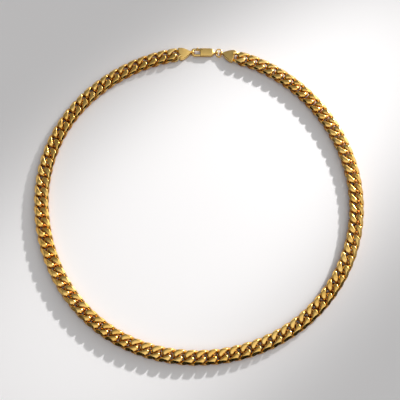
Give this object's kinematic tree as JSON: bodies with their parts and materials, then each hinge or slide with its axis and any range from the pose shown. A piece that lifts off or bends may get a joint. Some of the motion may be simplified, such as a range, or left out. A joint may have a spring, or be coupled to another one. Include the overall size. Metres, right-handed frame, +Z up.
{
  "type": "curb chain necklace",
  "caption": "Flat curb link chain necklace lying in a closed loop, with flared end tabs, an oval jump ring and a lobster clasp whose sprung lever opens inward.",
  "frame": {"origin": "centre of the loop's bounding box, on the surface that the necklace lies on", "axes": "+Z up from the surface, +Y from the middle of the loop towards the clasp, +X to the right seen from above with the clasp at the top"},
  "size_m": [0.166, 0.1704, 0.004],
  "materials": {
    "chain_gold": "polished gold",
    "satin_gold": "satin gold",
    "wire_gold": "polished gold"
  },
  "bodies": {
    "necklace": {"chain_right": "chain_gold", "chain_left": "chain_gold", "end_tab_right": "satin_gold", "end_tab_left": "satin_gold", "clasp_body": "satin_gold", "lever_pin": "wire_gold", "jump_ring": "wire_gold"},
    "lever": {"clasp_lever": "wire_gold"}
  },
  "joints": [
    {"name": "lever_hinge", "type": "hinge", "parent": "necklace", "child": "lever", "pos_m": [0.00155, 0.08355, 0.00125], "axis": [0, 0, 1], "range_deg": [0, 28], "stiffness_Nm_per_rad": 0.01}
  ]
}
